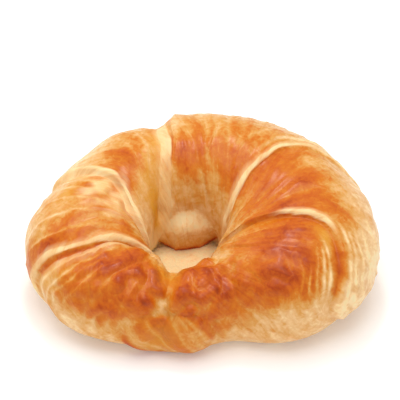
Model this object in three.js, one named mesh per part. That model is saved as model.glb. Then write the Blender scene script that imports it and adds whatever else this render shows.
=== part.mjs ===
// A ring croissant: one piece of rolled, laminated dough, bent until its two horns meet at the front.
// Millimetres, +Z up, +Y from the horns at the front to the crown at the back, and the origin at the
// centre of the base. Ring angles are degrees round the well in the middle, seen from above: 0 is the
// right shoulder, 90 the crown at the back, 180 the left shoulder and 270 the front.
import * as THREE from "three";
import { mergeVertices } from "three/addons/utils/BufferGeometryUtils.js";

// ---- Driving dimensions ----
const WIDTH = 130; // from shoulder to shoulder
const HEIGHT = 49; // from the base to the top of the crown
const WELL = { x: -6.24, y: -6.48, floor: 9 }; // the dimple's axis, and how thick the dough is below it

// The roll at places round the ring: how far its outer side and its inner wall are from the well's axis,
// as shares of half the width, and how high its crest is, as a share of the height.
const ROLL = [
  { angle: 0, outer: 1.07, inner: 0.22, crest: 0.86 },
  { angle: 30, outer: 1.0, inner: 0.25, crest: 0.91 },
  { angle: 60, outer: 0.87, inner: 0.24, crest: 0.95 },
  { angle: 90, outer: 0.79, inner: 0.21, crest: 0.96 },
  { angle: 120, outer: 0.81, inner: 0.21, crest: 0.93 },
  { angle: 150, outer: 0.82, inner: 0.21, crest: 0.84 },
  { angle: 180, outer: 0.88, inner: 0.21, crest: 0.78 },
  { angle: 210, outer: 0.825, inner: 0.21, crest: 0.68 },
  { angle: 240, outer: 0.66, inner: 0.21, crest: 0.6 },
  { angle: 270, outer: 0.585, inner: 0.21, crest: 0.56 },
  { angle: 300, outer: 0.62, inner: 0.2, crest: 0.6 },
  { angle: 320, outer: 0.865, inner: 0.2, crest: 0.71 },
  { angle: 340, outer: 1.02, inner: 0.2, crest: 0.8 },
];
const SQUARENESS = 2.25; // the section's superellipse exponent: 2 is an ellipse
const BELLY = 0.49; // how high the roll is widest, as a share of its crest
const SAG = 1.07; // how far the roll's lower half would reach without the tray, as a share of the belly

// The wraps of dough, anticlockwise from the horns' joint. Each is a band from one ring angle to the next,
// and puff is how far it stands out of the roll, in mm, at its first edge, its middle and its last edge.
const WRAPS = [
  { from: -103, to: -61, puff: [-1.5, 1.2, 0.2] }, // right horn's tip
  { from: -59.5, to: -9.2, puff: [0.2, 1.2, -0.7] }, // right horn
  { from: -7.2, to: 34.8, puff: [1, 1.2, 0.3] }, // right shoulder
  { from: 36.2, to: 96.5, puff: [0.9, 2, 1.8] }, // crown
  { from: 106.5, to: 149.5, puff: [-2.2, 0.5, 0.7] }, // left back
  { from: 152, to: 200.8, puff: [-1.5, 1, 0.7] }, // left shoulder
  { from: 202.8, to: 257, puff: [-0.7, 1.2, -1.5] }, // left horn
];

// How far an edge leans round the ring, in degrees, at the roll's outer side and at its inner wall.
const LEAN = [
  { angle: -103, outer: 0, inner: -10 },
  { angle: -61, outer: 0, inner: 8 },
  { angle: -9, outer: -22, inner: -20 },
  { angle: 35, outer: -18, inner: -16 },
  { angle: 106, outer: -4, inner: 22 },
  { angle: 151, outer: 5, inner: 38 },
  { angle: 202, outer: -6, inner: 20 },
];

// Pillowy swellings on the roll: ring angle and section angle of the middle, the reach each way in mm,
// and the height in mm.
const SWELLINGS = [
  { angle: 86, section: 194, along: 10.5, around: 7, height: 4.2 }, // fold squeezed in below the crown
  { angle: 260, section: -20, along: 17, around: 9, height: 2.2 }, // tongue of dough under the joint
];

// ---- Mesh fineness ----
const DEGREES_PER_COLUMN = 4;
const ROWS = { floor: 3, roll: 28, base: 2 };

const { sin, cos, abs, sign, PI, asin, exp } = Math;
const radians = THREE.MathUtils.degToRad;
const FULL_TURN = 360;

// A value that the places in a table give round the ring, as a smooth curve through them.
function roundTheRing(table, key) {
  const knots = table.map((place) => ({ at: place.angle, value: place[key] }));
  const count = knots.length;
  const knot = (i) => {
    const turns = Math.floor(i / count);
    const { at, value } = knots[i - turns * count];
    return { at: at + turns * FULL_TURN, value };
  };
  return (angle) => {
    const first = knots[0].at;
    const within = first + THREE.MathUtils.euclideanModulo(angle - first, FULL_TURN);
    let i = 0;
    while (knot(i + 1).at <= within) i += 1;
    const [a, b, c, d] = [knot(i - 1), knot(i), knot(i + 1), knot(i + 2)];
    const span = c.at - b.at;
    const t = (within - b.at) / span;
    const slopeIn = ((c.value - a.value) / (c.at - a.at)) * span;
    const slopeOut = ((d.value - b.value) / (d.at - b.at)) * span;
    const t2 = t * t;
    const t3 = t2 * t;
    return (
      b.value * (2 * t3 - 3 * t2 + 1) +
      slopeIn * (t3 - 2 * t2 + t) +
      c.value * (3 * t2 - 2 * t3) +
      slopeOut * (t3 - t2)
    );
  };
}

const outerAt = roundTheRing(ROLL, "outer");
const innerAt = roundTheRing(ROLL, "inner");
const crestAt = roundTheRing(ROLL, "crest");
const outerLeanAt = roundTheRing(LEAN, "outer");
const innerLeanAt = roundTheRing(LEAN, "inner");

// A wrap's puff at a share of its length, from 0 at its first edge to 1 at its last.
function puffAt(wrap, share) {
  const [first, middle, last] = wrap.puff;
  const ease = (x) => sin((x * PI) / 2);
  return share < 0.5
    ? THREE.MathUtils.lerp(first, middle, ease(share * 2))
    : THREE.MathUtils.lerp(last, middle, ease((1 - share) * 2));
}

// The columns of the skin: a ring angle at the crest, and the puff there.
function columns() {
  return WRAPS.flatMap((wrap) => {
    const steps = Math.round((wrap.to - wrap.from) / DEGREES_PER_COLUMN);
    const isLast = wrap === WRAPS.at(-1); // its last edge is the first one's, a turn on
    return Array.from({ length: isLast ? steps : steps + 1 }, (_, i) => ({
      angle: THREE.MathUtils.lerp(wrap.from, wrap.to, i / steps),
      puff: puffAt(wrap, i / steps),
    }));
  });
}

// The roll's section at a ring angle: its middle, half width and half heights.
function sectionAt(angle) {
  const outer = (outerAt(angle) * WIDTH) / 2;
  const inner = (innerAt(angle) * WIDTH) / 2;
  const crest = crestAt(angle) * HEIGHT;
  const belly = BELLY * crest;
  return {
    middle: (outer + inner) / 2,
    halfWidth: (outer - inner) / 2,
    belly,
    up: crest - belly,
    down: SAG * belly,
  };
}

// The section angle at which the roll's lower half is at a height.
function angleBelow(section, height) {
  const drop = (section.belly - height) / section.down;
  return (asin(drop ** (SQUARENESS / 2)) * 180) / PI;
}

function swellingAt(angle, sectionAngle, section) {
  return SWELLINGS.reduce((sum, s) => {
    const turn = THREE.MathUtils.euclideanModulo(angle - s.angle + FULL_TURN / 2, FULL_TURN) - FULL_TURN / 2;
    const reach = section.middle + section.halfWidth * cos(radians(sectionAngle));
    const along = (radians(turn) * reach) / s.along;
    const around = (radians(sectionAngle - s.section) * section.halfWidth) / s.around;
    return sum + s.height * exp(-((along ** 2 + around ** 2) ** 2));
  }, 0);
}

const power = (x) => sign(x) * abs(x) ** (2 / SQUARENESS);

// A point of the roll's skin, from a column and a section angle: 0 outside, 90 at the crest, 180 inside.
function rollPoint(column, sectionAngle) {
  const c = cos(radians(sectionAngle));
  const s = sin(radians(sectionAngle));
  const lean = (c > 0 ? outerLeanAt(column.angle) : innerLeanAt(column.angle)) * c ** 2;
  const angle = column.angle + lean;
  const section = sectionAt(angle);
  const fade = THREE.MathUtils.smoothstep(s, -0.95, -0.2); // the base and the well's floor stay plain
  const puff = column.puff * fade + swellingAt(angle, sectionAngle, section);
  const reach = section.middle + (section.halfWidth + puff) * power(c);
  const height = section.belly + ((s > 0 ? section.up : section.down) + puff) * power(s);
  return { angle, reach, height };
}

function place({ angle, reach, height }) {
  const a = radians(angle);
  return [WELL.x + reach * cos(a), WELL.y + reach * sin(a), height];
}

// One column's points, from the middle of the well's floor, over the crest, to the middle of the base.
function profile(column) {
  const section = sectionAt(column.angle);
  const from = 180 + angleBelow(section, WELL.floor);
  const to = -angleBelow(section, 0);
  const roll = Array.from({ length: ROWS.roll + 1 }, (_, i) => {
    const point = rollPoint(column, THREE.MathUtils.lerp(from, to, i / ROWS.roll));
    return { ...point, height: Math.max(0, point.height) };
  });
  const wallFoot = roll.at(0);
  const baseEdge = roll.at(-1);
  wallFoot.height = WELL.floor;
  baseEdge.height = 0;
  const spoke = (edge, count) =>
    Array.from({ length: count }, (_, i) => ({ ...edge, reach: (edge.reach * i) / count }));
  return [...spoke(wallFoot, ROWS.floor), ...roll, ...spoke(baseEdge, ROWS.base).reverse()].map(place);
}

// The closed skin: a sphere's grid of columns and rows, moved onto the profiles. Its top pole is the
// middle of the well's floor, and its bottom pole the middle of the base.
function skin(profiles) {
  const columnCount = profiles.length;
  const rowCount = profiles[0].length - 1;
  const grid = new THREE.SphereGeometry(1, columnCount, rowCount);
  const position = grid.getAttribute("position");
  for (let row = 0; row <= rowCount; row += 1) {
    for (let column = 0; column <= columnCount; column += 1) {
      const vertex = row * (columnCount + 1) + column;
      position.setXYZ(vertex, ...profiles[column % columnCount][row]);
    }
  }
  grid.deleteAttribute("normal");
  grid.deleteAttribute("uv");
  const geometry = mergeVertices(grid);
  geometry.computeVertexNormals();
  return geometry;
}

function croissant() {
  const geometry = skin(columns().map(profile));
  const crust = new THREE.MeshStandardMaterial({ color: 0xd98a3d, roughness: 0.5, metalness: 0 });
  const mesh = new THREE.Mesh(geometry, crust);
  mesh.name = "croissant";
  return mesh;
}

const part = new THREE.Group();
part.add(croissant());

export default part;
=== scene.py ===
"""A ring croissant, egg-washed and baked golden brown, on a pale stage.

The crust is one skin of ring angle and section angle. Ring angles are degrees round the well, seen from
above: 0 is the right shoulder, 90 the crown, 180 the left shoulder and 270 the front. Section angles are
degrees round the roll of dough: 0 is its outer side, 90 its crest and 180 the well's wall.
"""

import math
from collections import namedtuple

import bpy
import numpy as np
from bpy.props import FloatProperty, FloatVectorProperty, IntProperty, PointerProperty
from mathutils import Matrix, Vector, noise


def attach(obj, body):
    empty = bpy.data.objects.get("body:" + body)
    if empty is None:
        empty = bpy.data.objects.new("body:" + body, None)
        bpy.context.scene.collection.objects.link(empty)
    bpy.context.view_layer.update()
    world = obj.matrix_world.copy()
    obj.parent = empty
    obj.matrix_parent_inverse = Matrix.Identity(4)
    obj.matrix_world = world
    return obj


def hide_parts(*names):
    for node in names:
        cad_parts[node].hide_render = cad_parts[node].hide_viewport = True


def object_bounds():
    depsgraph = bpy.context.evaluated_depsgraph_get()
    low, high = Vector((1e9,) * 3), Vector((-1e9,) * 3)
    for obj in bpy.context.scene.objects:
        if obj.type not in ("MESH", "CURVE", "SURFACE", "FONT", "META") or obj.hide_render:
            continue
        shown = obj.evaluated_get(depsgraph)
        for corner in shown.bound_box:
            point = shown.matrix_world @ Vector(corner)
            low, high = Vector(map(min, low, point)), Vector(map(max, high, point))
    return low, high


bl_info = {
    "name": "Ring Croissant",
    "version": (1, 0, 0),
    "blender": (4, 5, 0),
    "location": "View3D > Sidebar > Croissant",
    "description": "Builds a baked ring croissant and its stage",
    "category": "Object",
}

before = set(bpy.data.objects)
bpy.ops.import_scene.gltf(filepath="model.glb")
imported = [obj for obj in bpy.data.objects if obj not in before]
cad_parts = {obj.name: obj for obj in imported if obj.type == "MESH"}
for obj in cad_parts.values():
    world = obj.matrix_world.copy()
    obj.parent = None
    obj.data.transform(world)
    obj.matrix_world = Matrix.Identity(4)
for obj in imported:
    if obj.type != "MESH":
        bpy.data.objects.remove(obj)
CAD_LOW, CAD_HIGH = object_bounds()

# ---- The roll of dough ----

ROLL_WIDTH = 0.130
ROLL_HEIGHT = 0.049
WELL = Vector((-0.00624, -0.00648, 0.009))  # the well's axis, and its floor's height

# Ring angle, outer side and inner wall as shares of half the width, crest as a share of the height.
Place = namedtuple("Place", "angle outer inner crest")
ROLL = (
    Place(0, 1.07, 0.22, 0.86),
    Place(30, 1.0, 0.25, 0.91),
    Place(60, 0.87, 0.24, 0.95),
    Place(90, 0.79, 0.21, 0.96),
    Place(120, 0.81, 0.21, 0.93),
    Place(150, 0.82, 0.21, 0.84),
    Place(180, 0.88, 0.21, 0.78),
    Place(210, 0.825, 0.21, 0.68),
    Place(240, 0.66, 0.21, 0.6),
    Place(270, 0.585, 0.21, 0.56),
    Place(300, 0.62, 0.2, 0.6),
    Place(320, 0.865, 0.2, 0.71),
    Place(340, 1.02, 0.2, 0.8),
)
SQUARENESS = 2.25  # the section's superellipse exponent
BELLY = 0.49  # where the roll is widest, as a share of its crest
SAG = 1.07  # the lower half's reach, as a share of the belly
FLOOR_DOME = 0.0012  # how far the well's floor rises in the middle
LEDGE = 0.2  # how much of a seam's drop is in steps and not a smooth fall
PLAIN_BELOW = (-0.95, -0.2)  # sines of the section angle between which the wraps and texture fade out

# Ring angles of a wrap's first and last edge, its puff at the first edge, middle and last edge in mm,
# and how brown it bakes at each of BAKE_SECTIONS: 0 is pale dough, 1 is nearly burnt.
Wrap = namedtuple("Wrap", "name start end puff bake")
BAKE_SECTIONS = (-60, -10, 20, 50, 80, 110, 150, 215)
# On the well's wall, at sections 150 and 215, the values are partly browning and partly painted light: kept
# pale to lift the shade inside the well.
WRAPS = (
    Wrap("right horn tip", -103, -61, (-1.5, 1.2, 0.2), (0.22, 0.34, 0.63, 0.7, 0.68, 0.64, 0.4, 0.3)),
    Wrap("right horn", -59.5, -9.2, (0.2, 1.2, -0.7), (0.2, 0.29, 0.48, 0.8, 0.74, 0.64, 0.4, 0.3)),
    Wrap("right shoulder", -7.2, 34.8, (1.0, 1.2, 0.3), (0.3, 0.12, 0.2, 0.4, 0.68, 0.69, 0.47, 0.3)),
    Wrap("crown", 36.2, 96.5, (0.9, 2, 1.8), (0.34, 0.3, 0.28, 0.28, 0.47, 0.67, 0.49, 0.26)),
    Wrap("left back", 106.5, 149.5, (-2.2, 0.5, 0.7), (0.34, 0.3, 0.24, 0.22, 0.46, 0.48, 0.34, 0.1)),
    Wrap("left shoulder", 152, 200.8, (-1.5, 1, 0.7), (0.3, 0.22, 0.2, 0.28, 0.38, 0.33, 0.38, 0.3)),
    Wrap("left horn", 202.8, 257, (-0.7, 1.2, -1.5), (0.2, 0.38, 0.62, 0.74, 0.8, 0.68, 0.4, 0.3)),
)
FIRST_EDGE = WRAPS[0].start

# How far an edge leans round the ring, in degrees, at the outer side and at the well's wall.
Lean = namedtuple("Lean", "angle outer inner")
LEANS = (
    Lean(-103, 0, -10),
    Lean(-61, 0, 8),
    Lean(-9, -22, -20),
    Lean(35, -18, -16),
    Lean(106, -4, 22),
    Lean(151, 5, 38),
    Lean(202, -6, 20),
)

END_BLUR = 12  # degrees round the roll over which a band's or a sheet's ends fade
SHEET_FADE = 2.4  # mm behind a sheet's edge over which its height falls away
LIP_STEP = 3  # mm of step that a seam with a full lip has
LIP_REACH = 1.6  # degrees round the ring that a lip reaches each way
RIM_INSET = 0.7  # mm from a wrap's edge to the top of its rim
RIM_REACH = 1.2  # mm that a rim reaches each way

# Pale dough left bare at the wraps' raised edges: ring angle, half width in mm, how much of it shows, the
# mm over which it fades out, clockwise if minus, and the section angles it shows between.
Band = namedtuple("Band", "angle half amount fade low high")
BANDS = (
    Band(-7.0, 0.7, 1.0, 1, 62, 104),
    Band(37.0, 0.75, 0.85, 1.4, -40, 200),
    # Wider and fuller than the others: partly bare dough, partly painted light that lifts the shade on the
    # steep step left of the crown.
    Band(103.4, 1.8, 1.1, 1.8, 62, 215),
    Band(102.8, 0.8, 0.5, 1.5, -40, 62),
    Band(150.2, 1.4, 0.95, 3.5, 42, 215),
    Band(150.2, 0.6, 0.5, 2.5, -40, 42),
    Band(200.0, 0.8, 0.85, -1.6, -40, 200),
    Band(205.0, 0.9, 0.6, 2.0, -10, 125),
)

# Thin sheets of dough that end within a wrap: ring angle of the edge, the section angles it runs between,
# its height in mm, and how pale the edge is.
Sheet = namedtuple("Sheet", "angle low high height pale")
SHEETS = (
    Sheet(206, -20, 110, 0.3, 0.5),
    Sheet(210.5, -10, 100, 0.35, 0.5),
    Sheet(214.5, 0, 80, 0.3, 0.4),
    Sheet(220, 10, 75, 0.3, 0.3),
    Sheet(229, 15, 90, 0.3, 0.2),
    Sheet(239, 20, 75, 0.3, 0.2),
    Sheet(-13.5, 22, 66, 0.4, 0.6),
    Sheet(-16.5, 24, 62, 0.35, 0.55),
    Sheet(-20, 26, 60, 0.35, 0.5),
    Sheet(-24, 28, 52, 0.3, 0.45),
    Sheet(-29, 30, 70, 0.3, 0.3),
    Sheet(-4, -10, 60, 0.35, 0.45),
    Sheet(-1, -10, 52, 0.3, 0.35),
    Sheet(3, -10, 48, 0.3, 0.35),
    Sheet(8, 0, 50, 0.25, 0.25),
    Sheet(14, 10, 60, 0.25, 0.15),
    Sheet(42, 40, 92, 0.3, 0.5),
    Sheet(52, 60, 110, 0.2, 0.2),
    Sheet(70, 70, 120, 0.2, 0.2),
    Sheet(96, 50, 150, 0.3, 0.3),
    Sheet(118, 60, 120, 0.25, 0.3),
    Sheet(128, 50, 130, 0.25, 0.2),
    Sheet(158, 50, 95, 0.35, 0.5),
    Sheet(164, 60, 110, 0.4, 0.5),
    Sheet(173, 50, 115, 0.35, 0.5),
    Sheet(183, 40, 110, 0.3, 0.4),
    Sheet(192, 20, 100, 0.3, 0.4),
    Sheet(-68, 30, 100, 0.3, 0.2),
    Sheet(-84, 20, 90, 0.3, 0.2),
    Sheet(-47, 30, 90, 0.3, 0.2),
)

# A soft round place on the crust: ring and section angle of its middle, its reach along the ring and round
# the roll in mm, and an amount, here its height in mm.
Spot = namedtuple("Spot", "angle section along around amount")
NUB = Spot(87, 196, 11.4, 6.8, 4.8)  # fold squeezed in below the crown
TONGUE = Spot(260.5, -19, 17, 9.5, 2.1)  # tongue of dough under the horns' joint
JOINT = Spot(254.5, 45, 3.2, 18, -1.1)  # sunken strip between the horns
KNOTS = (
    JOINT,
    Spot(253, 64, 2.4, 2.4, 1.4),
    Spot(246.5, 42, 2.6, 2.4, 0.9),
    Spot(238, 24, 6, 5, 0.6),
    Spot(226, 50, 6, 6, 0.6),
    Spot(220, 80, 6, 6, 0.5),
    Spot(-96, 44, 4, 4, 0.8),
    Spot(-90, 76, 5, 5, 0.9),
    Spot(-86, 104, 5, 4, 0.8),
    Spot(-87, 22, 4, 4, 0.6),
    Spot(-74, 82, 5, 5, 0.9),
    Spot(-76, 52, 5, 4, 0.8),
    Spot(-50, 55, 6, 6, 0.6),
    Spot(-30, 64, 6, 6, 0.6),
    Spot(-38, 84, 7, 6, 0.7),
    Spot(157, 104, 3, 2.2, -0.8),  # holes torn in the left shoulder
    Spot(166, 103, 4, 2.6, -0.7),
    Spot(177, 100, 4, 3, -0.5),
    Spot(155, 128, 2.5, 1.6, -0.8),
    Spot(168, 86, 4, 2.4, -0.5),
    Spot(184, 122, 3, 2, 0.6),
)

NUB_SEAT = 0.0012  # how far the roll stands out below the nub, whichever wrap it is on
NUB_HEIGHTS = (-1, -0.6, -0.42, -0.1, 0.12, 0.28)  # shares of its reach round the roll, from its top down
NUB_LIGHT_AND_SHADE = (0.08, 0.1, 0.34, 0.4, 0.52, 1.0)  # painted light and shade at those heights: pale on its top, which faces the light, darkest at its underside, where its shadow line falls

# Browner and paler patches on each wrap. The amount is how much browner.
PATCHES = (
    # Paler beside the horns' joint: partly lighter crust, partly painted light that lifts the joint's shade.
    Spot(-98, 56, 4, 9, -0.14),  # right horn tip
    Spot(-97, 95, 5, 9, -0.04),
    Spot(-88, 26, 5, 6, 0.14),
    Spot(-87, 88, 6, 6, 0.1),
    Spot(-84, 10, 9, 5, 0.12),
    Spot(-77, 104, 5, 5, 0.2),
    Spot(-67, 74, 4.5, 9, 0.42),
    Spot(-60, 104, 6, 6, -0.2),  # right horn
    Spot(-57, 20, 5, 7, 0.16),
    Spot(-56, 58, 4, 6, -0.2),
    Spot(-56, 115, 4, 8, -0.2),
    Spot(-47, 42, 9, 8, 0.1),
    Spot(-40, 52, 11, 9, 0.14),
    Spot(-32, 14, 16, 5, -0.16),
    Spot(-28, 90, 8, 9, 0.14),
    Spot(-24, 32, 7, 6, 0.2),
    Spot(-16, 46, 8, 14, -0.2),
    Spot(-16, 84, 8, 8, 0.14),
    Spot(-12, 61, 4, 4, -0.2),
    Spot(-10, 27, 6, 5, 0.14),
    Spot(-8, 37, 2.6, 9, 0.34),  # right shoulder
    Spot(-4, 96, 6, 7, 0.1),
    Spot(2, 58, 6, 10, 0.16),
    Spot(8, 150, 6, 6, -0.18),
    Spot(18, -8, 14, 7, 0.1),
    Spot(19, 70, 7, 7, -0.2),
    Spot(19, 97, 7, 7, 0.14),
    Spot(28, 104, 8, 9, 0.06),
    Spot(44, -2, 10, 10, 0.1),  # crown
    Spot(48, 132, 5, 12, 0.12),
    Spot(60, 40, 14, 12, 0.12),
    Spot(60, 150, 6, 8, -0.1),
    Spot(84, 12, 15, 10, -0.1),
    Spot(87, 120, 9, 9, 0.14),
    Spot(94, 86, 5, 4, -0.22),
    Spot(98, 46, 8, 10, 0.14),
    Spot(114, 105, 4, 12, -0.1),  # left back
    Spot(122, 26, 11, 14, 0.14),
    Spot(126, 92, 9, 9, 0.16),
    # Painted light: paler to lift the shade in the crevice beside the nub's left foot.
    Spot(126, 188, 5, 6, -0.45),
    Spot(136, -8, 10, 10, -0.08),
    Spot(137, 70, 6, 6, -0.12),
    Spot(137, 100, 6, 9, 0.16),
    Spot(141, 100, 2.5, 5, 0.14),
    Spot(142, 138, 7, 7, -0.15),
    Spot(145, 132, 3, 8, -0.2),
    Spot(152, 127, 4.5, 10, 0.45),  # left shoulder
    Spot(155, 128, 2.2, 1.6, 0.3),
    Spot(157, 104, 3, 2.2, 0.24),
    Spot(160, 22, 11, 11, 0.12),
    Spot(162, 84, 6, 5, 0.36),
    Spot(166, 103, 4, 2.6, 0.24),
    Spot(168, 86, 4, 2.4, 0.14),
    Spot(175, 88, 6, 5, 0.2),
    Spot(176, 117, 6, 4, 0.1),
    Spot(177, 100, 4, 3, 0.1),
    Spot(180, 58, 6, 8, 0.16),
    Spot(184, 122, 2.5, 2, 0.3),
    Spot(192, 100, 8, 16, 0.12),
    Spot(194, 42, 5.5, 18, 0.36),
    Spot(197, 22, 4, 16, 0.36),
    Spot(197, 142, 4, 9, 0.36),
    Spot(206, 108, 3.5, 11, -0.35),  # left horn
    Spot(209, 36, 4, 13, -0.3),
    Spot(210, 50, 5, 8, 0.14),
    Spot(212, 82, 7, 9, 0.14),
    Spot(224, 74, 7, 7, 0.1),
    Spot(228, -10, 12, 5, -0.2),
    Spot(236, 30, 7, 6, 0.24),
    Spot(236, 104, 8, 7, 0.1),
    Spot(240, 52, 7, 8, -0.08),
    Spot(240, 150, 8, 9, -0.3),
    Spot(244, -16, 5, 4, 0.2),
    Spot(246.5, 42, 2.2, 2, 0.3),
    Spot(250, 58, 4, 5, 0.1),
    Spot(253, 63, 2, 2, 0.35),
    Spot(254, 38, 2.6, 17, -0.3),
    Spot(254, 96, 6, 7, 0.12),
)
# The amount is how much of the thing shows.
TORN = (Spot(163, 98, 9, 10, 0.52), Spot(156, 112, 4, 8, 0.3))  # dough pulled open on the left shoulder
OCHRE_AND_GROOVE_SHADE = (  # ochre patches; those at 112.5 and 119 degrees, in the groove left of the crown, are painted shade: the warm ochre of that shaded groove
    Spot(112.5, 164, 2.6, 9.5, 0.95),
    Spot(110, 90, 2.5, 6, 0.5),
    Spot(119, 138, 3.5, 11, 0.6),
    Spot(254, 106, 4, 6, 0.5),
    Spot(-12, 68, 2.2, 5, 0.7),
    Spot(168, 70, 5, 3, 0.6),
    Spot(160, 96, 5, 3, 0.4),
    Spot(258, -12, 6, 6, 0.5),
    Spot(208, 20, 3, 8, 0.4),
)
LUMPY = (Spot(-83, 65, 15, 24, 1), Spot(228, 60, 19, 24, 1), Spot(-40, 70, 17, 18, 0.6))  # on the horns

# Browning that the texture adds, on the bake's scale.
BLISTER_BAKE = 0.1
CURL_BAKE = 0.5
FOLD_BAKE = 0.26
SHEET_BAKE = -0.5
FLOOR_BAKE = 0.02
WALL_FOOT_BAKE = 0.1
BASE_BAKE = 0.5

# ---- Noise and streaks ----

NOISE_STEP = (17.3, 5.9, 11.1)  # how far a seed moves the noise
SKIN_STRETCH = (0.034, 0.034, 0.02)  # the roll's noise, in metres a radian round the ring and the roll
STREAK_RADIUS = 0.034  # of the ring that streaks are read on
STREAK_TWIST = 0.3  # degrees round the ring that a streak leans in each degree round the roll
STREAK_STRETCH = 0.16  # how much slower streaks change round the roll than across it


def smoothstep(low, high, value):
    """0 below low, 1 above high, and a smooth rise between them."""
    t = np.clip((value - low) / (high - low), 0, 1)
    return t * t * (3 - 2 * t)


def between(value, low, high, blur):
    """1 between low and high, 0 outside them, blurred at both."""
    return smoothstep(low - blur, low + blur, value) * smoothstep(high + blur, high - blur, value)


def turn_from(angle, centre):
    """Degrees round the ring from centre to angle, between -180 and 180."""
    return np.mod(angle - centre + 180, 360) - 180


def round_the_ring(table, key):
    """A smooth curve through a table's values at places round the ring, as a function of ring angle."""
    at = np.array([place.angle for place in table], float)
    values = np.array([getattr(place, key) for place in table], float)
    count = len(table)

    def knot(i):
        turns = i // count
        return at[i - turns * count] + 360 * turns, values[i - turns * count]

    def curve(angle):
        within = at[0] + np.mod(np.asarray(angle, float) - at[0], 360)
        i = np.clip(np.searchsorted(at, within, side="right") - 1, 0, count - 1)
        (xa, a), (xb, b), (xc, c), (xd, d) = (knot(i + step) for step in (-1, 0, 1, 2))
        span = xc - xb
        t = (within - xb) / span
        slope_in = (c - a) / (xc - xa) * span
        slope_out = (d - b) / (xd - xb) * span
        return (
            b * (2 * t**3 - 3 * t**2 + 1)
            + slope_in * (t**3 - 2 * t**2 + t)
            + c * (3 * t**2 - 2 * t**3)
            + slope_out * (t**3 - t**2)
        )

    return curve


outer_at = round_the_ring(ROLL, "outer")
inner_at = round_the_ring(ROLL, "inner")
crest_at = round_the_ring(ROLL, "crest")
outer_lean_at = round_the_ring(LEANS, "outer")
inner_lean_at = round_the_ring(LEANS, "inner")


def section_at(angle):
    """The roll's section at ring angles: middle, half width, belly, and half heights above and below it."""
    outer = outer_at(angle) * ROLL_WIDTH / 2
    inner = inner_at(angle) * ROLL_WIDTH / 2
    crest = crest_at(angle) * ROLL_HEIGHT
    belly = BELLY * crest
    return (outer + inner) / 2, (outer - inner) / 2, belly, crest - belly, SAG * belly


def angle_below(section, height):
    """The section angle at which the roll's lower half is at a height."""
    return np.degrees(np.arcsin(((section[2] - height) / section[4]) ** (SQUARENESS / 2)))


def power(x):
    return np.sign(x) * np.abs(x) ** (2 / SQUARENESS)


def smooth_noise(points, size, seed):
    """Smooth noise from about -1 to 1 at points, with features of that size."""
    scaled = points.reshape(-1, 3) / size + seed * np.array(NOISE_STEP)
    return np.array([noise.noise(p) for p in scaled.tolist()]).reshape(points.shape[:-1])


def from_spot(spot, angle, section, reach, half_width):
    """How far each point is from a spot's middle, along the ring and round the roll, in reaches."""
    along = np.radians(turn_from(angle, spot.angle)) * reach / (spot.along / 1000)
    around = np.radians(section - spot.section) * half_width / (spot.around / 1000)
    return along, around


def amount_of(spots, angle, section, reach, half_width):
    """The summed amounts of a table of soft spots."""
    total = np.zeros_like(angle)
    for spot in spots:
        along, around = from_spot(spot, angle, section, reach, half_width)
        total += spot.amount * np.exp(-(along**2) - around**2)
    return total


def pillow(spot, angle, section, reach, half_width, squareness, crease):
    """The height in metres of a plump spot, with a crease that deep along its inward side, in mm."""
    along, around = from_spot(spot, angle, section, reach, half_width)
    out = (np.abs(along) ** squareness + np.abs(around) ** squareness) ** (1 / squareness)
    dome = smoothstep(1.02, 0.6, out) * (1 - 0.25 * np.minimum(out, 1) ** 2)
    inward_edge = np.exp(-(((out - 1.05) / 0.1) ** 2)) * smoothstep(-0.6, 0.5, around)
    return (spot.amount * dome - crease * inward_edge) / 1000


def sheet_edges(table, angle, section, reach):
    """The height in metres, and the paleness, of thin sheets' edges."""
    height = np.zeros_like(angle)
    pale = np.zeros_like(angle)
    for sheet in table:
        off = np.radians(turn_from(angle, sheet.angle)) * reach * 1000
        ends = between(section, sheet.low, sheet.high, END_BLUR)
        step = smoothstep(-0.5, 0.15, off) * np.exp(-np.maximum(off, 0) / SHEET_FADE)
        height += sheet.height / 1000 * step * ends
        pale = np.maximum(pale, sheet.pale * ends * np.exp(-(((off + 0.3) / 0.9) ** 2)))
    return height, pale


def wrap_edges():
    """Each seam as the wrap before it, the wrap after it, and the ring angles where it starts and ends."""
    seams = []
    for i, wrap in enumerate(WRAPS):
        following = WRAPS[(i + 1) % len(WRAPS)]
        end = following.start + (360 if i == len(WRAPS) - 1 else 0)
        seams.append((wrap, following, wrap.end, end))
    return seams


def puff_at(angle, layers):
    """How far the wraps stand out of the roll, in metres, with the step of layers at each seam."""
    out = np.zeros_like(angle)
    for wrap, following, end, start in wrap_edges():
        first, middle, last = wrap.puff
        share = (angle - wrap.start) / (wrap.end - wrap.start)
        near = np.sin(np.minimum(share, 1 - share) * math.pi)
        edge = np.where(share < 0.5, first, last)
        out = np.where((share >= 0) & (share <= 1), edge + (middle - edge) * near, out)
        if start > end:
            drop = following.puff[0] - last
            across = np.clip((angle - end) / (start - end), 0, 1)
            if drop > 0:
                across = 1 - across
            stepped = across * layers
            tread = np.floor(stepped)
            stair = (tread + smoothstep(0.3, 0.9, stepped - tread)) / layers
            fall = (1 - LEDGE) * smoothstep(0, 1, across) + LEDGE * stair
            high, low = max(last, following.puff[0]), min(last, following.puff[0])
            inside = (angle > end) & (angle < start)
            out = np.where(inside, high + (low - high) * fall, out)
    return out / 1000


def lip_at(angle):
    """How strongly each column belongs to a wrap's overhanging edge: positive leans it anticlockwise."""
    out = np.zeros_like(angle)
    for wrap, following, end, start in wrap_edges():
        if start == end:
            continue
        step = wrap.puff[2] - following.puff[0]
        edge = end if step > 0 else start
        out += np.clip(step / LIP_STEP, -1, 1) * np.exp(-((turn_from(angle, edge) / LIP_REACH) ** 2))
    return out


Skin = namedtuple("Skin", "angle section turned point reach half_width free")


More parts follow.
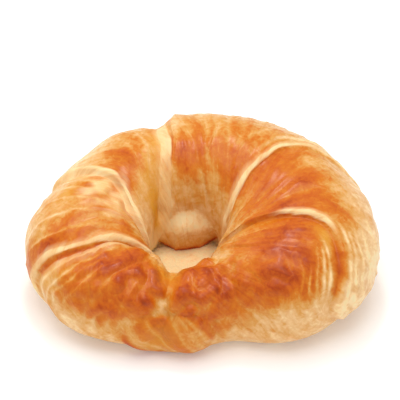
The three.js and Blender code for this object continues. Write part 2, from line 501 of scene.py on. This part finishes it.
def roll_skin(shape):
    """The smooth skin's grid: rows from the wall's foot over the crest to the base's edge."""
    columns = FIRST_EDGE + np.arange(shape.columns) * 360 / shape.columns
    section = section_at(columns)
    foot, base_edge = 180 + angle_below(section, WELL.z), -angle_below(section, 0)
    share = np.linspace(0, 1, shape.rows)[:, None]
    share = share - shape.crowding * np.sin(2 * math.pi * share)
    around = foot * (1 - share) + base_edge * share
    angle = np.broadcast_to(columns, around.shape).copy()
    c = np.cos(np.radians(around))
    s = np.sin(np.radians(around))
    free = smoothstep(*PLAIN_BELOW, s)

    circle = np.radians(angle)
    flat = np.stack([np.cos(circle), np.sin(circle), np.radians(around)], -1) * SKIN_STRETCH
    lean = np.where(c > 0, outer_lean_at(angle), inner_lean_at(angle)) * c**2
    turned = angle + lean + shape.drift * smooth_noise(flat, 0.012, seed=1) * free
    middle, half_width, belly, up, down = section_at(turned)
    puff = puff_at(angle, shape.layers) * (1 + 0.3 * smooth_noise(flat, 0.015, seed=2)) * free
    at = turned, around, middle + half_width * c, half_width
    under_nub = smoothstep(1.6, 1.0, np.hypot(*from_spot(NUB, *at)))
    puff += (NUB_SEAT - puff) * under_nub
    puff += pillow(NUB, *at, squareness=2.8, crease=1.5) + pillow(TONGUE, *at, squareness=3, crease=0.7)

    reach = middle + (half_width + puff) * power(c)
    height = np.maximum(belly + (np.where(s > 0, up, down) + puff) * power(s), 0)
    height[0] = np.minimum(height[0], WELL.z)
    height[-1] = 0
    x = WELL.x + reach * np.cos(np.radians(turned))
    y = WELL.y + reach * np.sin(np.radians(turned))
    return Skin(angle, around, turned, np.stack([x, y, height], -1), reach, half_width, free)


def across_and_up(point):
    """The unit direction round the ring and the outward normal at each point of a grid."""
    along = np.roll(point, -1, 1) - np.roll(point, 1, 1)
    down = np.gradient(point, axis=0)
    normal = np.cross(down, along)
    along /= np.linalg.norm(along, axis=-1, keepdims=True) + 1e-12
    normal /= np.linalg.norm(normal, axis=-1, keepdims=True) + 1e-12
    return along, normal


def flow_of(angle, section, half_width):
    """Seamless coordinates for texture that runs round the roll: two across the streaks, one along."""
    streak = np.radians(angle + STREAK_TWIST * section)
    along = STREAK_STRETCH * np.radians(section) * half_width
    return np.stack([STREAK_RADIUS * np.cos(streak), STREAK_RADIUS * np.sin(streak), along], -1)


def blisters(point, size, reach, seed, share):
    """Small domes, 0 to 1, at scattered cells. share is how many of the cells have one."""
    out = []
    for p in (point.reshape(-1, 3) / size + 3.7 * seed).tolist():
        distances, cells = noise.voronoi(p)
        chosen = noise.cell(cells[0] * 41.0 + Vector((seed, seed, seed)))
        dome = max(0.0, 1 - distances[0] / reach) if (chosen * 0.5 + 0.5) < share else 0.0
        out.append(dome * dome * (3 - 2 * dome))
    return np.array(out).reshape(point.shape[:-1])


def bake_at(skin):
    """How brown the crust is at each point, from the wraps and the patches, some of which are painted light
    that lifts shade in the well and by the joint.
    """
    table = np.stack([np.interp(skin.section, BAKE_SECTIONS, wrap.bake) for wrap in WRAPS])
    bake = np.zeros_like(skin.angle)
    for i, (wrap, following, end, start) in enumerate(wrap_edges()):
        inside = (skin.angle >= wrap.start) & (skin.angle <= end)
        bake = np.where(inside, table[i], bake)
        if start > end:
            blend = smoothstep(end, start, skin.angle)
            mixed = table[i] * (1 - blend) + table[(i + 1) % len(WRAPS)] * blend
            bake = np.where((skin.angle > end) & (skin.angle < start), mixed, bake)
    return bake + amount_of(PATCHES, skin.angle, skin.section, skin.reach, skin.half_width)


def bare_dough_at(skin):
    """Where pale dough shows, 0 to 1: at the wraps' edges, wider towards the outer side, and where torn."""
    spread = 1 + 0.8 * smoothstep(78, 10, skin.section)
    ragged = 0.5 * smooth_noise(skin.point, 0.005, seed=9) + 0.25 * smooth_noise(skin.point, 0.0025, seed=12)
    patchy = 0.9 + 0.7 * smooth_noise(skin.point, 0.009, seed=13)
    out = np.zeros_like(skin.angle)
    for band in BANDS:
        half = band.half * spread
        off = np.radians(turn_from(skin.angle, band.angle)) * skin.reach * 1000 + ragged
        off = off if band.fade > 0 else -off
        sharp = smoothstep(-1.3, -0.7, off / half) * smoothstep(1.3, 0.7, off / half)
        fading = 0.5 * (off > 0) * np.exp(-((np.maximum(off - half, 0) / abs(band.fade)) ** 2))
        ends = between(skin.section, band.low, band.high, END_BLUR)
        out = np.maximum(out, band.amount * ends * patchy * np.maximum(sharp, fading))
    torn = amount_of(TORN, skin.angle, skin.section, skin.reach, skin.half_width)
    out = np.maximum(out, torn * (1 + 1.5 * smooth_noise(skin.point, 0.004, seed=15)))
    return out * smoothstep(-0.9, -0.3, np.sin(np.radians(skin.section)))


def rim_at(angle, reach):
    """The rounded rim along each wrap's raised edge, 0 to 1."""
    out = np.zeros_like(angle)
    for wrap, following, end, start in wrap_edges():
        if start > end:
            edge = end if wrap.puff[2] > following.puff[0] else start
            inward = -1 if edge == end else 1
            off = np.radians(turn_from(angle, edge)) * reach * 1000 * inward
            out = np.maximum(out, np.exp(-(((off - RIM_INSET) / RIM_REACH) ** 2)))
    return out


def add_attribute(mesh, name, kind, values):
    attribute = mesh.attributes.new(name, kind, "POINT")
    attribute.data.foreach_set("vector" if kind == "FLOAT_VECTOR" else "value", values.ravel())


def closed_mesh(name, rows, first_pole, last_pole):
    """A closed mesh over a grid of points, with one point at each end, outside out."""
    row_count, column_count = rows.shape[:2]
    points = np.concatenate([rows.reshape(-1, 3), [first_pole, last_pole]])
    here = np.arange(column_count)
    following = np.roll(here, -1)
    faces = []
    for row in range(row_count - 1):
        top, bottom = row * column_count, (row + 1) * column_count
        quads = np.stack([top + here, bottom + here, bottom + following, top + following], -1)
        faces.extend(quads.tolist())
    first, last = len(points) - 2, len(points) - 1
    edge = (row_count - 1) * column_count
    faces.extend(np.stack([np.full(column_count, first), here, following], -1).tolist())
    faces.extend(np.stack([np.full(column_count, last), edge + following, edge + here], -1).tolist())
    mesh = bpy.data.meshes.new(name)
    mesh.from_pydata(points.tolist(), [], faces)
    mesh.validate()
    mesh.shade_smooth()
    return mesh


Texture = namedtuple(
    "Texture",
    "lumps lumpy curls folds streaks domes knots sheets pale rim on_nub near_nub down_nub on_tongue",
)


def texture_of(skin, flow):
    """The crust's texture at each point, each kind on its own scale, and where the pillows are."""
    at_column = skin.angle, skin.section, skin.reach, skin.half_width
    at = skin.turned, skin.section, skin.reach, skin.half_width
    wander = 1.2 * smooth_noise(skin.point, 0.009, seed=10)
    sheets, pale = sheet_edges(SHEETS, skin.angle + wander, skin.section, skin.reach)
    nub_along, nub_around = from_spot(NUB, *at)
    from_nub = np.hypot(nub_along, nub_around)
    return Texture(
        lumps=smooth_noise(skin.point, 0.016, seed=3) + 0.5 * smooth_noise(skin.point, 0.008, seed=4),
        lumpy=np.minimum(amount_of(LUMPY, *at_column), 1),
        curls=np.abs(smooth_noise(skin.point + 0.0015 * flow, 0.0065, seed=14)) - 0.2,
        folds=np.abs(smooth_noise(flow, 0.005, seed=5)) - 0.2,
        streaks=smooth_noise(flow, 0.0016, seed=6),
        domes=blisters(skin.point, 0.0036, reach=0.5, seed=7, share=0.35),
        knots=amount_of(KNOTS, *at_column) / 1000,
        sheets=sheets,
        pale=pale,
        rim=rim_at(skin.angle, skin.reach),
        on_nub=smoothstep(1.12, 1.0, from_nub),
        near_nub=smoothstep(1.6, 1.2, from_nub),
        down_nub=nub_around,
        on_tongue=smoothstep(1.05, 0.9, np.hypot(*from_spot(TONGUE, *at))),
    )


def raised_by(texture, shape, bare):
    """How far the texture raises the skin, in metres. The horns are lumpier, and the nub is smoother."""
    raised = shape.lumps * texture.lumps + texture.knots + texture.sheets
    raised += shape.rim * texture.rim * (0.7 + 0.8 * texture.lumps)
    raised += shape.curls * texture.curls * texture.lumpy
    raised += shape.folds * texture.folds * (1 - 0.6 * texture.lumpy) * (1 - texture.near_nub)
    fine = shape.streaks * texture.streaks + shape.blisters * texture.domes * (1 - bare)
    return raised + fine * (1 - 0.7 * texture.near_nub)


def browned_by(texture, skin, point):
    """How brown the crust is at each point, with what the texture and the pillows do to it, and the painted
    light and shade on the nub.
    """
    bake = bake_at(skin) + BLISTER_BAKE * texture.domes
    bake += CURL_BAKE * texture.lumpy * texture.curls
    bake += FOLD_BAKE * (1 - 0.5 * texture.lumpy) * texture.folds
    bake += SHEET_BAKE * texture.pale * (1 + smooth_noise(skin.point, 0.004, seed=11))
    # Painted light and shade on the nub: pale on its lit top, dark in the shadow under it.
    bake += texture.on_nub * (np.interp(texture.down_nub, NUB_HEIGHTS, NUB_LIGHT_AND_SHADE) - bake)
    bake += 0.9 * texture.on_tongue * (0.6 + 0.8 * texture.folds - bake)
    low_down = smoothstep(WELL.z + 0.004, WELL.z, point[..., 2])
    wall_foot = low_down * (skin.section > 120) * (1 - texture.on_nub)
    return bake * (1 - wall_foot) + WALL_FOOT_BAKE * wall_foot


def spokes(edge, shares):
    """Flat rows of points between the well's axis and a ring of points, at shares of the way out."""
    rows = np.zeros((len(shares), *edge.shape))
    for axis, centre in enumerate((WELL.x, WELL.y)):
        rows[..., axis] = centre + (edge[:, axis] - centre) * shares
    return rows


def floor_rows(edge, count):
    """The rows of the well's floor, a low uneven dome, from the middle out to the wall's foot."""
    shares = np.linspace(0, 1, count + 1)[1:-1, None]
    floor = spokes(edge, shares)
    uneven = 1 + 0.25 * smooth_noise(floor, 0.006, seed=8)
    floor[..., 2] = WELL.z + FLOOR_DOME * (1 - shares**6) * uneven
    return floor


def whole(shape, floor_value, middle, base_value):
    """A value for every point of the mesh: the floor's, the roll's, the base's, and the two poles'."""
    floor = np.full((shape.floor_rows - 1) * shape.columns, floor_value)
    base = np.full((shape.base_rows - 1) * shape.columns, base_value)
    return np.concatenate([floor, middle.ravel(), base, [floor_value, base_value]])


def crust_mesh(shape):
    """The croissant's fine skin, with its browning, its painted light and shade, and texture coordinates as
    attributes.
    """
    skin = roll_skin(shape)
    along, normal = across_and_up(skin.point)
    flow = flow_of(skin.angle, skin.section, skin.half_width)
    bare = bare_dough_at(skin)
    texture = texture_of(skin, flow)

    point = skin.point + normal * (raised_by(texture, shape, bare) * skin.free)[..., None]
    point += along * (shape.lip * lip_at(skin.angle) * skin.free)[..., None]
    point[..., 2] = np.maximum(point[..., 2], 0)
    floor = floor_rows(point[0], shape.floor_rows)
    base = spokes(point[-1], np.linspace(1, 0, shape.base_rows + 1)[1:-1, None])
    poles = (WELL.x, WELL.y, WELL.z + FLOOR_DOME), (WELL.x, WELL.y, 0)
    mesh = closed_mesh("croissant_crust", np.concatenate([floor, point, base]), *poles)

    bake = browned_by(texture, skin, point)
    # Ochre patches, with painted shade in the groove left of the crown.
    ochre_and_groove_shade = np.minimum(amount_of(OCHRE_AND_GROOVE_SHADE, skin.angle, skin.section, skin.reach, skin.half_width), 1)
    add_attribute(mesh, "bake", "FLOAT", whole(shape, FLOOR_BAKE, bake, BASE_BAKE))
    add_attribute(mesh, "ochre_and_groove_shade", "FLOAT", whole(shape, 0.0, ochre_and_groove_shade, 0.0))
    add_attribute(mesh, "bare_dough", "FLOAT", whole(shape, 0.0, bare * (1 - texture.on_nub), 0.0))
    rows = np.concatenate([floor, flow, base]).reshape(-1, 3)
    add_attribute(mesh, "flow", "FLOAT_VECTOR", np.concatenate([rows, poles]))
    return mesh


# ---- Finishes ----


def paint(code):
    """A six-figure colour code as linear red, green and blue."""
    parts = [int(code[i : i + 2], 16) / 255 for i in (0, 2, 4)]
    return tuple(p / 12.92 if p <= 0.04045 else ((p + 0.055) / 1.055) ** 2.4 for p in parts)


def add_node(tree, kind, inputs=None, **settings):
    """A new node. inputs maps a socket's name or number to a value, or to an output to link it to."""
    node = tree.nodes.new(kind)
    for key, value in settings.items():
        setattr(node, key, value)
    for key, value in (inputs or {}).items():
        if isinstance(value, bpy.types.NodeSocket):
            tree.links.new(value, node.inputs[key])
        else:
            node.inputs[key].default_value = value
    return node


def math_node(tree, operation, a, b=0.0, clamp=False):
    return add_node(tree, "ShaderNodeMath", {0: a, 1: b}, operation=operation, use_clamp=clamp).outputs[0]


def weighted_sum(tree, start, parts):
    """start plus each source times its weight."""
    total = start
    for source, weight in parts:
        total = math_node(tree, "ADD", total, math_node(tree, "MULTIPLY", source, weight))
    return total


def noise_node(tree, vector, scale, detail=3.0, roughness=0.5, distortion=0.0):
    inputs = {
        "Vector": vector, "Scale": scale, "Detail": detail, "Roughness": roughness, "Distortion": distortion,
    }
    return add_node(tree, "ShaderNodeTexNoise", inputs).outputs["Fac"]


def ramp_node(tree, value, stops):
    node = add_node(tree, "ShaderNodeValToRGB", {"Fac": value})
    elements = node.color_ramp.elements
    while len(elements) < len(stops):
        elements.new(0.5)
    for element, (place, colour) in zip(elements, stops):
        element.position = place
        element.color = (*colour, 1)
    return node.outputs["Color"]


def mix_node(tree, factor, a, b):
    inputs = {"Factor": factor, 6: a, 7: b}
    return add_node(tree, "ShaderNodeMix", inputs, data_type="RGBA").outputs[2]


def crust_material(finish):
    """Egg-washed crust: streaky browning over the roll, bare dough at the seams, and a soft gloss."""
    material = bpy.data.materials.new("egg_washed_crust")
    material.use_nodes = True
    tree = material.node_tree
    shader = tree.nodes["Principled BSDF"]
    bake, bare, ochre_and_groove_shade = (
        add_node(tree, "ShaderNodeAttribute", attribute_name=name).outputs["Fac"]
        for name in ("bake", "bare_dough", "ochre_and_groove_shade")
    )
    flow = add_node(tree, "ShaderNodeAttribute", attribute_name="flow").outputs["Vector"]
    place = add_node(tree, "ShaderNodeTexCoord").outputs["Object"]

    broad = noise_node(tree, place, 55.0, detail=2.0)
    blotch = noise_node(tree, place, 170.0, detail=4.0, roughness=0.6, distortion=0.8)
    mottle = noise_node(tree, place, 380.0, distortion=1.2)
    streak = noise_node(tree, flow, 300.0, detail=4.0, roughness=0.55, distortion=0.9)
    fibre = noise_node(tree, flow, 1200.0, roughness=0.55, distortion=0.5)
    pores = noise_node(tree, place, 1500.0, roughness=0.6)

    uneven = (broad, 0.15), (blotch, 0.33), (mottle, 0.36), (streak, 0.32), (fibre, 0.11)
    swings = [(math_node(tree, "SUBTRACT", source, 0.5), amount) for source, amount in uneven]
    browned = math_node(tree, "ADD", math_node(tree, "MULTIPLY", bake, 0.8), finish.bake)
    browned = weighted_sum(tree, browned, swings)
    nearly_burnt = tuple(0.6 * part for part in finish.dark)
    crust_colours = (
        (0.0, finish.crumb),
        (0.09, finish.dough),
        (0.2, finish.blond),
        (0.36, finish.golden),
        (0.5, finish.amber),
        (0.66, finish.brown),
        (0.82, finish.dark),
        (1.0, nearly_burnt),
    )
    crust = ramp_node(tree, browned, crust_colours)

    line = weighted_sum(tree, 0.0, ((fibre, 0.5), (streak, 0.5)))
    dough = ramp_node(tree, line, ((0.36, finish.blond), (0.5, finish.dough), (0.64, finish.crumb)))
    ragged = weighted_sum(tree, bare, ((math_node(tree, "SUBTRACT", streak, 0.5), 0.7),))
    cover = ramp_node(tree, ragged, ((0.12, (0, 0, 0)), (0.9, (1, 1, 1))))
    colour = mix_node(tree, cover, crust, dough)
    # Ochre patches, and painted shade in the groove left of the crown.
    ochre_share = math_node(tree, "MULTIPLY", ochre_and_groove_shade, math_node(tree, "ADD", blotch, 0.45), clamp=True)
    colour = mix_node(tree, ochre_share, colour, (*finish.ochre_and_groove_shade, 1))
    tree.links.new(colour, shader.inputs["Base Color"])

    rough = weighted_sum(tree, 0.3, ((blotch, 0.3), (cover, 0.22)))  # bare dough is duller
    tree.links.new(rough, shader.inputs["Roughness"])
    washed = math_node(tree, "SUBTRACT", 1.0, cover, clamp=True)
    tree.links.new(math_node(tree, "MULTIPLY", washed, finish.glaze), shader.inputs["Coat Weight"])

    grain = weighted_sum(tree, 0.0, ((streak, 0.8), (fibre, 0.5), (pores, 0.25), (blotch, 0.5)))
    bump = add_node(tree, "ShaderNodeBump", {"Height": grain, "Strength": 0.6, "Distance": finish.grain})
    tree.links.new(bump.outputs["Normal"], shader.inputs["Normal"])
    shader.inputs["Coat Roughness"].default_value = finish.glaze_roughness
    shader.inputs["Subsurface Weight"].default_value = 0.12
    shader.inputs["Subsurface Radius"].default_value = (1.0, 0.5, 0.25)
    shader.inputs["Subsurface Scale"].default_value = 0.003
    shader.inputs["Specular IOR Level"].default_value = 0.1
    return material


def floor_material(colour, glow):
    material = bpy.data.materials.new("stage_floor")
    material.use_nodes = True
    shader = material.node_tree.nodes["Principled BSDF"]
    shader.inputs["Base Color"].default_value = (*colour, 1)
    shader.inputs["Roughness"].default_value = 0.9
    shader.inputs["Emission Color"].default_value = (1, 1, 1, 1)
    shader.inputs["Emission Strength"].default_value = glow
    return material


# ---- Settings ----


class CroissantShape(bpy.types.PropertyGroup):
    """Fineness of the skin and sizes of the crust's relief"""

    columns: IntProperty(
        name="Columns", description="Columns of points round the ring", default=880, min=60, max=1800,
    )
    rows: IntProperty(
        name="Rows", description="Rows of points round the roll", default=102, min=24, max=240,
    )
    crowding: FloatProperty(
        name="Crowding", description="How much closer the rows are near the well's wall and the base",
        default=0.035, min=0, max=0.1,
    )
    floor_rows: IntProperty(
        name="Floor rows", description="Rows across the well's floor", default=6, min=2, max=40,
    )
    base_rows: IntProperty(
        name="Base rows", description="Rows across the base", default=4, min=2, max=40,
    )
    layers: IntProperty(
        name="Layers", description="Sheets of dough that show at each seam", default=3, min=1, max=8,
    )
    lip: FloatProperty(
        name="Lip", description="How far a wrap's edge hangs over the next wrap",
        default=0.0006, min=0, max=0.003, unit="LENGTH", precision=4,
    )
    drift: FloatProperty(
        name="Drift", description="How far the seams wander, in degrees round the ring",
        default=2.2, min=0, max=6,
    )
    rim: FloatProperty(
        name="Rim", description="Height of the rounded rim along a wrap's edge",
        default=0.0003, min=0, max=0.003, unit="LENGTH", precision=4,
    )
    lumps: FloatProperty(
        name="Lumps", description="Height of the crust's broad unevenness",
        default=0.0006, min=0, max=0.003, unit="LENGTH", precision=4,
    )
    curls: FloatProperty(
        name="Curls", description="Height of the puffs on the lumpy horns",
        default=0.0030, min=0, max=0.006, unit="LENGTH", precision=4,
    )
    folds: FloatProperty(
        name="Folds", description="Height of the soft folds that run round the roll",
        default=0.0009, min=0, max=0.003, unit="LENGTH", precision=4,
    )
    streaks: FloatProperty(
        name="Streaks", description="Height of the fine streaks that run round the roll",
        default=0.00016, min=0, max=0.001, unit="LENGTH", precision=5,
    )
    blisters: FloatProperty(
        name="Blisters", description="Height of the blisters",
        default=0.00035, min=0, max=0.002, unit="LENGTH", precision=5,
    )


def colour_property(name, description, colour):
    return FloatVectorProperty(
        name=name, description=description, default=colour, subtype="COLOR", min=0, max=1,
    )


class CroissantFinish(bpy.types.PropertyGroup):
    """Colours and gloss of the crust"""

    bake: FloatProperty(
        name="Bake", description="Added browning all over", default=0.0, min=-0.5, max=0.5,
    )
    glaze: FloatProperty(
        name="Egg wash", description="Weight of the glossy egg wash",
        default=0.3, min=0, max=1, subtype="FACTOR",
    )
    glaze_roughness: FloatProperty(
        name="Egg wash roughness", description="How blurred the egg wash's reflections are",
        default=0.24, min=0, max=1, subtype="FACTOR",
    )
    grain: FloatProperty(
        name="Grain", description="Depth of the crust's finest grain",
        default=0.0006, min=0, max=0.003, unit="LENGTH", precision=4,
    )
    crumb: colour_property("Crumb", "Colour of the palest dough", paint("f4dba6"))
    dough: colour_property("Dough", "Colour of bare dough", paint("f7d39a"))
    blond: colour_property("Blond", "Colour of the palest crust", paint("eabb80"))
    golden: colour_property("Golden", "Colour of golden crust", paint("db9b4a"))
    amber: colour_property("Amber", "Colour of well baked crust", paint("d27617"))
    brown: colour_property("Brown", "Colour of browned crust", paint("c75e08"))
    dark: colour_property("Dark", "Colour of the darkest crust", paint("ae4202"))
    # Ochre of the patches, and of the painted shade in the groove left of the crown.
    ochre_and_groove_shade: colour_property("Butter", "Colour where butter ran out of the dough", paint("dd9a2c"))


class CroissantStage(bpy.types.PropertyGroup):
    """Floor, lights and camera"""

    floor: colour_property("Floor", "Colour of the floor", (0.93, 0.93, 0.93))
    floor_size: FloatProperty(
        name="Floor size", description="Length of each side of the floor",
        default=1.0, min=0.2, max=20, unit="LENGTH",
    )
    floor_glow: FloatProperty(
        name="Floor glow", description="Light that the floor gives off, which softens the shadow",
        default=0.12, min=0, max=1,
    )
    sky: FloatProperty(
        name="Surround", description="Strength of the even light from all sides",
        default=0.7, min=0, max=5,
    )
    overhead: FloatProperty(
        name="Overhead", description="Power of the large light overhead",
        default=2.8, min=0, max=200, unit="POWER",
    )
    side: FloatProperty(
        name="Side", description="Power of the light at the back left",
        default=1.2, min=0, max=200, unit="POWER",
    )
    sheen: FloatProperty(
        name="Sheen", description="Power of the small light behind, which the egg wash reflects",
        default=1.1, min=0, max=200, unit="POWER",
    )
    elevation: FloatProperty(
        name="Elevation", description="Camera's angle above the floor",
        default=math.radians(42), min=0, max=math.radians(89), subtype="ANGLE",
    )
    distance: FloatProperty(
        name="Distance", description="From the camera to the croissant",
        default=3.0, min=0.2, max=10, unit="LENGTH",
    )
    view_width: FloatProperty(
        name="View width", description="Width of what the camera sees",
        default=0.1465, min=0.05, max=2, unit="LENGTH", precision=4,
    )


# ---- Operators ----

SENSOR_WIDTH = 36  # millimetres
AIM = (-0.0011, 0.0142, 0)  # what the camera looks at, from the croissant's middle


class CROISSANT_OT_crust(bpy.types.Operator):
    """Build the baked crust in place of the plain solid"""

    bl_idname = "croissant.crust"
    bl_label = "Crust"

    def execute(self, context):
        scene = context.scene
        mesh = crust_mesh(scene.croissant_shape)
        piece = bpy.data.objects.new("croissant_crust", mesh)
        scene.collection.objects.link(piece)
        mesh.materials.append(crust_material(scene.croissant_finish))
        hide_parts("croissant")
        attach(piece, "root")
        return {"FINISHED"}


def stage_floor(stage):
    side = stage.floor_size / 2
    corners = [(-side, -side, 0), (side, -side, 0), (side, side, 0), (-side, side, 0)]
    mesh = bpy.data.meshes.new("stage_floor")
    mesh.from_pydata(corners, [], [(0, 1, 2, 3)])
    mesh.materials.append(floor_material(stage.floor, stage.floor_glow))
    floor = bpy.data.objects.new("stage_floor", mesh)
    bpy.context.scene.collection.objects.link(floor)


def studio_world(strength):
    """Even light from all sides, in front of a plain white backdrop."""
    world = bpy.data.worlds.new("studio")
    world.use_nodes = True
    tree = world.node_tree
    surround = tree.nodes["Background"]
    surround.inputs["Color"].default_value = (1, 1, 1, 1)
    surround.inputs["Strength"].default_value = strength
    backdrop = add_node(tree, "ShaderNodeBackground", {"Color": (1, 1, 1, 1), "Strength": 1.0})
    seen = add_node(tree, "ShaderNodeLightPath").outputs["Is Camera Ray"]
    inputs = {0: seen, 1: surround.outputs[0], 2: backdrop.outputs[0]}
    mixed = add_node(tree, "ShaderNodeMixShader", inputs)
    tree.links.new(mixed.outputs[0], tree.nodes["World Output"].inputs["Surface"])
    bpy.context.scene.world = world


def softbox(name, target, size, power, offset):
    """A square light that faces target from an offset, both in metres."""
    light = bpy.data.lights.new(name, "AREA")
    light.shape = "SQUARE"
    light.size = size
    light.energy = power
    lamp = bpy.data.objects.new(name, light)
    bpy.context.scene.collection.objects.link(lamp)
    lamp.location = target + Vector(offset)
    lamp.rotation_euler = (-Vector(offset)).to_track_quat("-Z", "Y").to_euler()


def front_camera(stage, target):
    """A long lens at the front that looks down on target."""
    camera = bpy.data.objects.new("camera", bpy.data.cameras.new("camera"))
    bpy.context.scene.collection.objects.link(camera)
    camera.data.sensor_width = SENSOR_WIDTH
    camera.data.lens = SENSOR_WIDTH * stage.distance / stage.view_width
    camera.data.clip_end = 50
    away = Vector((0, -math.cos(stage.elevation), math.sin(stage.elevation)))
    camera.location = target + away * stage.distance
    camera.rotation_euler = away.to_track_quat("Z", "Y").to_euler()
    bpy.context.scene.camera = camera


class CROISSANT_OT_stage(bpy.types.Operator):
    """Set out the floor, the lights and the camera"""

    bl_idname = "croissant.stage"
    bl_label = "Stage"

    def execute(self, context):
        stage = context.scene.croissant_stage
        middle = (CAD_LOW + CAD_HIGH) / 2
        stage_floor(stage)
        studio_world(stage.sky)
        softbox("overhead_softbox", middle, size=0.6, power=stage.overhead, offset=(0.02, -0.08, 0.8))
        softbox("side_softbox", middle, size=0.5, power=stage.side, offset=(-0.6, 0.45, 0.45))
        softbox("sheen_softbox", middle, size=0.12, power=stage.sheen, offset=(-0.03, 0.26, 0.76))
        front_camera(stage, middle + Vector(AIM))
        context.scene.view_settings.view_transform = "Standard"
        return {"FINISHED"}


class CROISSANT_PT_sidebar(bpy.types.Panel):
    """Lists the croissant's operators and settings"""

    bl_idname = "CROISSANT_PT_sidebar"
    bl_label = "Croissant"
    bl_space_type = "VIEW_3D"
    bl_region_type = "UI"
    bl_category = "Croissant"

    def draw(self, context):
        layout, scene = self.layout, context.scene
        for operator in (CROISSANT_OT_crust, CROISSANT_OT_stage):
            layout.operator(operator.bl_idname)
        for group in (scene.croissant_shape, scene.croissant_finish, scene.croissant_stage):
            box = layout.box()
            for name in group.__annotations__:
                box.prop(group, name)


CLASSES = (
    CroissantShape,
    CroissantFinish,
    CroissantStage,
    CROISSANT_OT_crust,
    CROISSANT_OT_stage,
    CROISSANT_PT_sidebar,
)


def register():
    for cls in CLASSES:
        bpy.utils.register_class(cls)
    bpy.types.Scene.croissant_shape = PointerProperty(type=CroissantShape)
    bpy.types.Scene.croissant_finish = PointerProperty(type=CroissantFinish)
    bpy.types.Scene.croissant_stage = PointerProperty(type=CroissantStage)


def unregister():
    del bpy.types.Scene.croissant_stage
    del bpy.types.Scene.croissant_finish
    del bpy.types.Scene.croissant_shape
    for cls in reversed(CLASSES):
        bpy.utils.unregister_class(cls)


def main():
    register()
    bpy.ops.croissant.crust()
    bpy.ops.croissant.stage()


if __name__ == "__main__":
    main()
